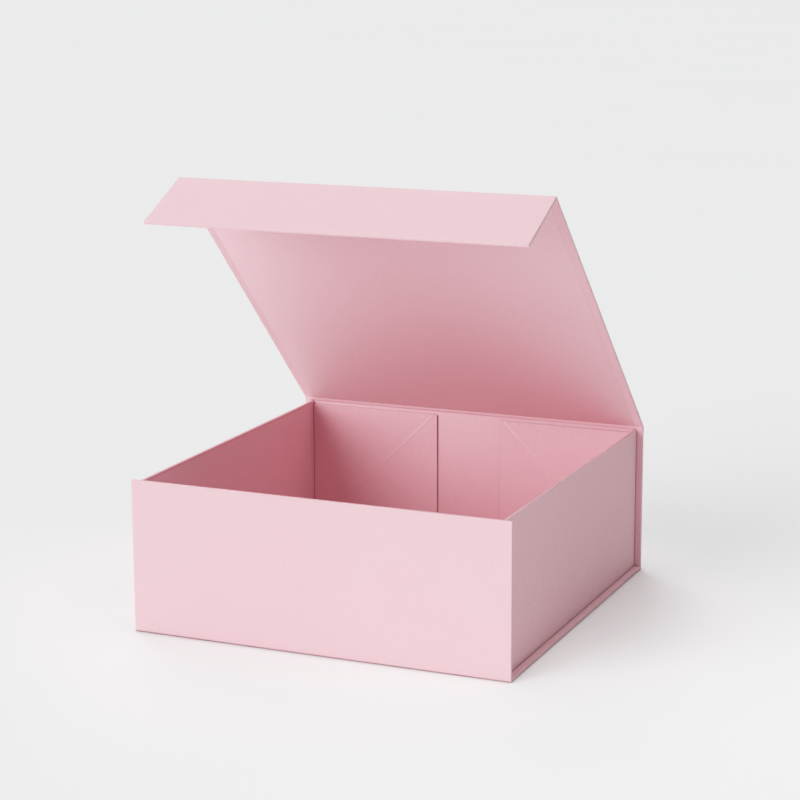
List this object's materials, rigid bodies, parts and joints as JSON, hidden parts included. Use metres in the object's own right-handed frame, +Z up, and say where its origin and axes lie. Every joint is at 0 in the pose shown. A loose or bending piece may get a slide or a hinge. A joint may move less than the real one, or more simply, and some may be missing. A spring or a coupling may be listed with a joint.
{
  "type": "folding flower box",
  "caption": "Shallow square paper-wrapped rigid box with a hinged lid and closing flap; its walls and corner gussets fold flat.",
  "frame": {"origin": "centre of the base's underside", "axes": "+Z up, +Y towards the spine that carries the lid, +X to the right seen from the front"},
  "size_m": [0.3, 0.3, 0.3309],
  "materials": {
    "wrap_paper": "uncoated, smooth, matt, dyed through",
    "lining_paper": "uncoated, smooth, matt, dyed through",
    "greyboard": "raw recycled board",
    "magnet": "nickel-plated",
    "steel_disc": "bright steel",
    "tape": "siliconed release liner, satin"
  },
  "bodies": {
    "base": {"base_board": "greyboard", "base_wrap": "wrap_paper", "base_lining": "lining_paper", "rear_fold_band": "wrap_paper", "front_fold_band": "wrap_paper", "left_fold_bead": "lining_paper", "right_fold_bead": "lining_paper"},
    "spine": {"spine_board": "greyboard", "spine_wrap": "wrap_paper", "spine_lining": "lining_paper", "lid_fold_band": "wrap_paper", "rear_left_gusset_board": "greyboard", "rear_left_gusset_cover": "lining_paper", "rear_right_gusset_board": "greyboard", "rear_right_gusset_cover": "lining_paper"},
    "lid": {"lid_board": "greyboard", "lid_wrap": "wrap_paper", "lid_lining": "lining_paper", "flap_fold_band": "wrap_paper"},
    "flap": {"flap_board": "greyboard", "flap_wrap": "wrap_paper", "flap_lining": "lining_paper", "flap_magnets": "magnet"},
    "front": {"front_board": "greyboard", "front_wrap": "wrap_paper", "front_lining": "lining_paper", "front_steel_discs": "steel_disc", "front_left_gusset_board": "greyboard", "front_left_gusset_cover": "lining_paper", "front_right_gusset_board": "greyboard", "front_right_gusset_cover": "lining_paper"},
    "left_wall": {"left_wall_board": "greyboard", "left_wall_wrap": "wrap_paper", "left_wall_lining": "lining_paper"},
    "right_wall": {"right_wall_board": "greyboard", "right_wall_wrap": "wrap_paper", "right_wall_lining": "lining_paper"},
    "rear_left_flap": {"rear_left_flap_board": "greyboard", "rear_left_flap_cover": "lining_paper", "rear_left_flap_tape": "tape"},
    "rear_right_flap": {"rear_right_flap_board": "greyboard", "rear_right_flap_cover": "lining_paper", "rear_right_flap_tape": "tape"},
    "front_left_flap": {"front_left_flap_board": "greyboard", "front_left_flap_cover": "lining_paper", "front_left_flap_tape": "tape"},
    "front_right_flap": {"front_right_flap_board": "greyboard", "front_right_flap_cover": "lining_paper", "front_right_flap_tape": "tape"}
  },
  "joints": [
    {"name": "spine_fold", "type": "hinge", "parent": "base", "child": "spine", "pos_m": [0, 0.1488, 0.0012], "axis": [-1, 0, 0], "range_deg": [0, 90]},
    {"name": "front_fold", "type": "hinge", "parent": "base", "child": "front", "pos_m": [0, -0.1488, 0.0012], "axis": [1, 0, 0], "range_deg": [0, 90]},
    {"name": "left_wall_fold", "type": "hinge", "parent": "base", "child": "left_wall", "pos_m": [-0.14175, 0, 0.00315], "axis": [0, 1, 0], "range_deg": [0, 90]},
    {"name": "right_wall_fold", "type": "hinge", "parent": "base", "child": "right_wall", "pos_m": [0.14175, 0, 0.00315], "axis": [0, -1, 0], "range_deg": [0, 90]},
    {"name": "rear_left_flap_fold", "type": "hinge", "parent": "spine", "child": "rear_left_flap", "pos_m": [-0.1418, 0.1455, 0.00315], "axis": [0.7071, 0, 0.7071], "range_deg": [0, 180]},
    {"name": "rear_right_flap_fold", "type": "hinge", "parent": "spine", "child": "rear_right_flap", "pos_m": [0.1418, 0.1455, 0.00315], "axis": [0.7071, 0, -0.7071], "range_deg": [0, 180]},
    {"name": "front_left_flap_fold", "type": "hinge", "parent": "front", "child": "front_left_flap", "pos_m": [-0.1418, -0.1455, 0.00315], "axis": [-0.7071, 0, -0.7071], "range_deg": [0, 180]},
    {"name": "front_right_flap_fold", "type": "hinge", "parent": "front", "child": "front_right_flap", "pos_m": [0.1418, -0.1455, 0.00315], "axis": [-0.7071, 0, 0.7071], "range_deg": [0, 180]},
    {"name": "lid_hinge", "type": "hinge", "parent": "spine", "child": "lid", "pos_m": [0, 0.1488, 0.1188], "axis": [1, 0, 0], "range_deg": [-158, 44.5]},
    {"name": "flap_hinge", "type": "hinge", "parent": "lid", "child": "flap", "pos_m": [0, -0.06582, 0.3297], "axis": [1, 0, 0], "range_deg": [-70, 20]}
  ],
  "couplings": [
    {"joint": "front_fold", "follows": "spine_fold", "ratio": 1},
    {"joint": "left_wall_fold", "follows": "spine_fold", "ratio": 1},
    {"joint": "right_wall_fold", "follows": "spine_fold", "ratio": 1},
    {"joint": "rear_left_flap_fold", "follows": "spine_fold", "ratio": 2},
    {"joint": "rear_right_flap_fold", "follows": "spine_fold", "ratio": 2},
    {"joint": "front_left_flap_fold", "follows": "spine_fold", "ratio": 2},
    {"joint": "front_right_flap_fold", "follows": "spine_fold", "ratio": 2}
  ]
}
